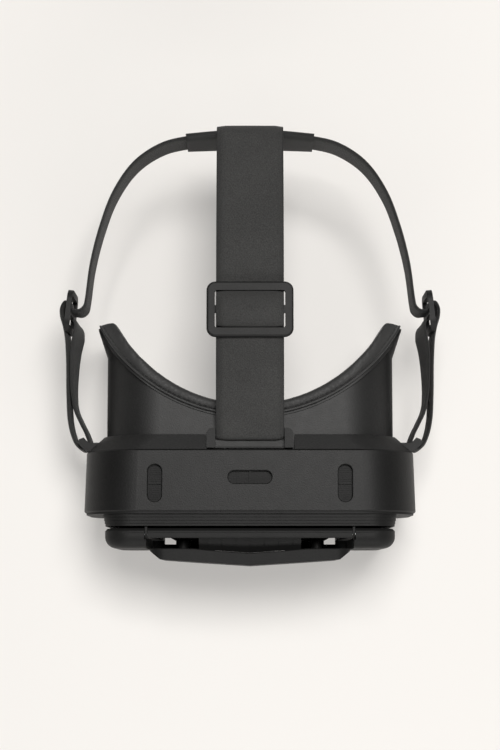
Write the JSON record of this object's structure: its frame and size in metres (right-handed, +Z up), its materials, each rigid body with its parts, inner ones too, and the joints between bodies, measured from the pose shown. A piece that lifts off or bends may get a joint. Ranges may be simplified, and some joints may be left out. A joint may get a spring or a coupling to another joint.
{
  "type": "vr headset",
  "caption": "Phone-holding headset for virtual reality with a hinged front cover, a removable front plate, adjustable lenses, a curved face pad and elastic head straps.",
  "frame": {"origin": "middle of the flat underside of the housing, on the surface it stands on", "axes": "+Z up, -Y out of the front plate, +Y towards the back of the head, +X to the right in a plan with the front at the bottom"},
  "size_m": [0.23, 0.2616, 0.1189],
  "materials": {
    "housing": "fine matt texture",
    "shell_black": "matt",
    "front_black": "satin",
    "front_plate": "satin",
    "magnet": "plated",
    "steel": "ground",
    "mechanism": "matt",
    "slider": "matt, ribbed",
    "lens": "clear",
    "pad_cover": "soft matt leatherette",
    "buckle": "satin",
    "webbing": "woven elastic",
    "sleeve": "woven elastic, folded over",
    "rubber": "matt"
  },
  "bodies": {
    "headset": {"housing_upper": "housing", "housing_lower": "housing", "rear_shoulder": "shell_black", "front_frame": "front_black", "frame_magnets": "magnet", "lens_bulkhead": "shell_black", "guide_rods": "steel", "pinion_axle": "steel", "septum": "shell_black", "slider_tracks": "mechanism", "face_shroud": "shell_black", "pad_carrier": "shell_black", "face_pad": "pad_cover", "top_strap_anchor": "buckle", "side_strap_loop_left": "buckle", "side_strap_loop_right": "buckle", "side_buckle_left": "buckle", "side_buckle_right": "buckle", "back_strap": "webbing", "yoke_sleeve": "sleeve", "top_strap": "webbing", "loop_strap_left": "webbing", "loop_strap_right": "webbing"},
    "ipd_slider": {"ipd_slider": "slider"},
    "ipd_pinion": {"ipd_pinion": "mechanism"},
    "carriage_left": {"carriage_left": "mechanism"},
    "carriage_right": {"carriage_right": "mechanism"},
    "lens_cell_left": {"lens_barrel_left": "mechanism", "lens_left": "lens", "lens_ring_left": "mechanism"},
    "lens_cell_right": {"lens_barrel_right": "mechanism", "lens_right": "lens", "lens_ring_right": "mechanism"},
    "focus_slider_left": {"focus_slider_left": "slider"},
    "focus_slider_right": {"focus_slider_right": "slider"},
    "cover": {"front_cover": "front_black", "hinge_pins": "steel", "cover_magnets": "magnet", "vent_panel": "front_black", "phone_pads": "rubber"},
    "phone_jaw": {"phone_jaw": "mechanism", "jaw_pad": "rubber"},
    "front_plate": {"front_plate": "front_plate", "plate_pins": "front_black"},
    "top_slider": {"top_slider": "buckle", "strap_over_bar": "webbing"}
  },
  "joints": [
    {"name": "eye_spacing_slide", "type": "slide", "parent": "headset", "child": "ipd_slider", "axis": [1, 0, 0], "range_m": [-0.004, 0.004]},
    {"name": "carriage_right_slide", "type": "slide", "parent": "headset", "child": "carriage_right", "axis": [1, 0, 0], "range_m": [-0.0041, 0.0041]},
    {"name": "carriage_left_slide", "type": "slide", "parent": "headset", "child": "carriage_left", "axis": [1, 0, 0], "range_m": [-0.0041, 0.0041]},
    {"name": "pinion_spin", "type": "hinge", "parent": "headset", "child": "ipd_pinion", "pos_m": [0, 0.0125, 0.082], "axis": [0, 1, 0], "range_deg": [-47, 47]},
    {"name": "focus_left_slide", "type": "slide", "parent": "headset", "child": "focus_slider_left", "axis": [0, 1, 0], "range_m": [-0.0023, 0.0023]},
    {"name": "focus_right_slide", "type": "slide", "parent": "headset", "child": "focus_slider_right", "axis": [0, 1, 0], "range_m": [-0.0023, 0.0023]},
    {"name": "lens_left_focus", "type": "slide", "parent": "carriage_left", "child": "lens_cell_left", "axis": [0, 1, 0], "range_m": [-0.0024, 0.0024]},
    {"name": "lens_right_focus", "type": "slide", "parent": "carriage_right", "child": "lens_cell_right", "axis": [0, 1, 0], "range_m": [-0.0024, 0.0024]},
    {"name": "cover_hinge", "type": "hinge", "parent": "headset", "child": "cover", "pos_m": [0, -0.029, 0.0905], "axis": [-1, 0, 0], "range_deg": [0, 90]},
    {"name": "phone_jaw_slide", "type": "slide", "parent": "cover", "child": "phone_jaw", "axis": [0, 0, 1], "range_m": [0, 0.006]},
    {"name": "front_plate_pull", "type": "slide", "parent": "cover", "child": "front_plate", "axis": [0, -1, 0], "range_m": [0, 0.025]},
    {"name": "top_slider_slide", "type": "slide", "parent": "headset", "child": "top_slider", "axis": [0, 1, 0], "range_m": [-0.014, 0.014]}
  ],
  "couplings": [
    {"joint": "carriage_right_slide", "follows": "eye_spacing_slide", "ratio": 1},
    {"joint": "carriage_left_slide", "follows": "eye_spacing_slide", "ratio": -1},
    {"joint": "pinion_spin", "follows": "eye_spacing_slide", "rad_per_m": 200},
    {"joint": "lens_left_focus", "follows": "focus_left_slide", "ratio": 1},
    {"joint": "lens_right_focus", "follows": "focus_right_slide", "ratio": 1}
  ]
}
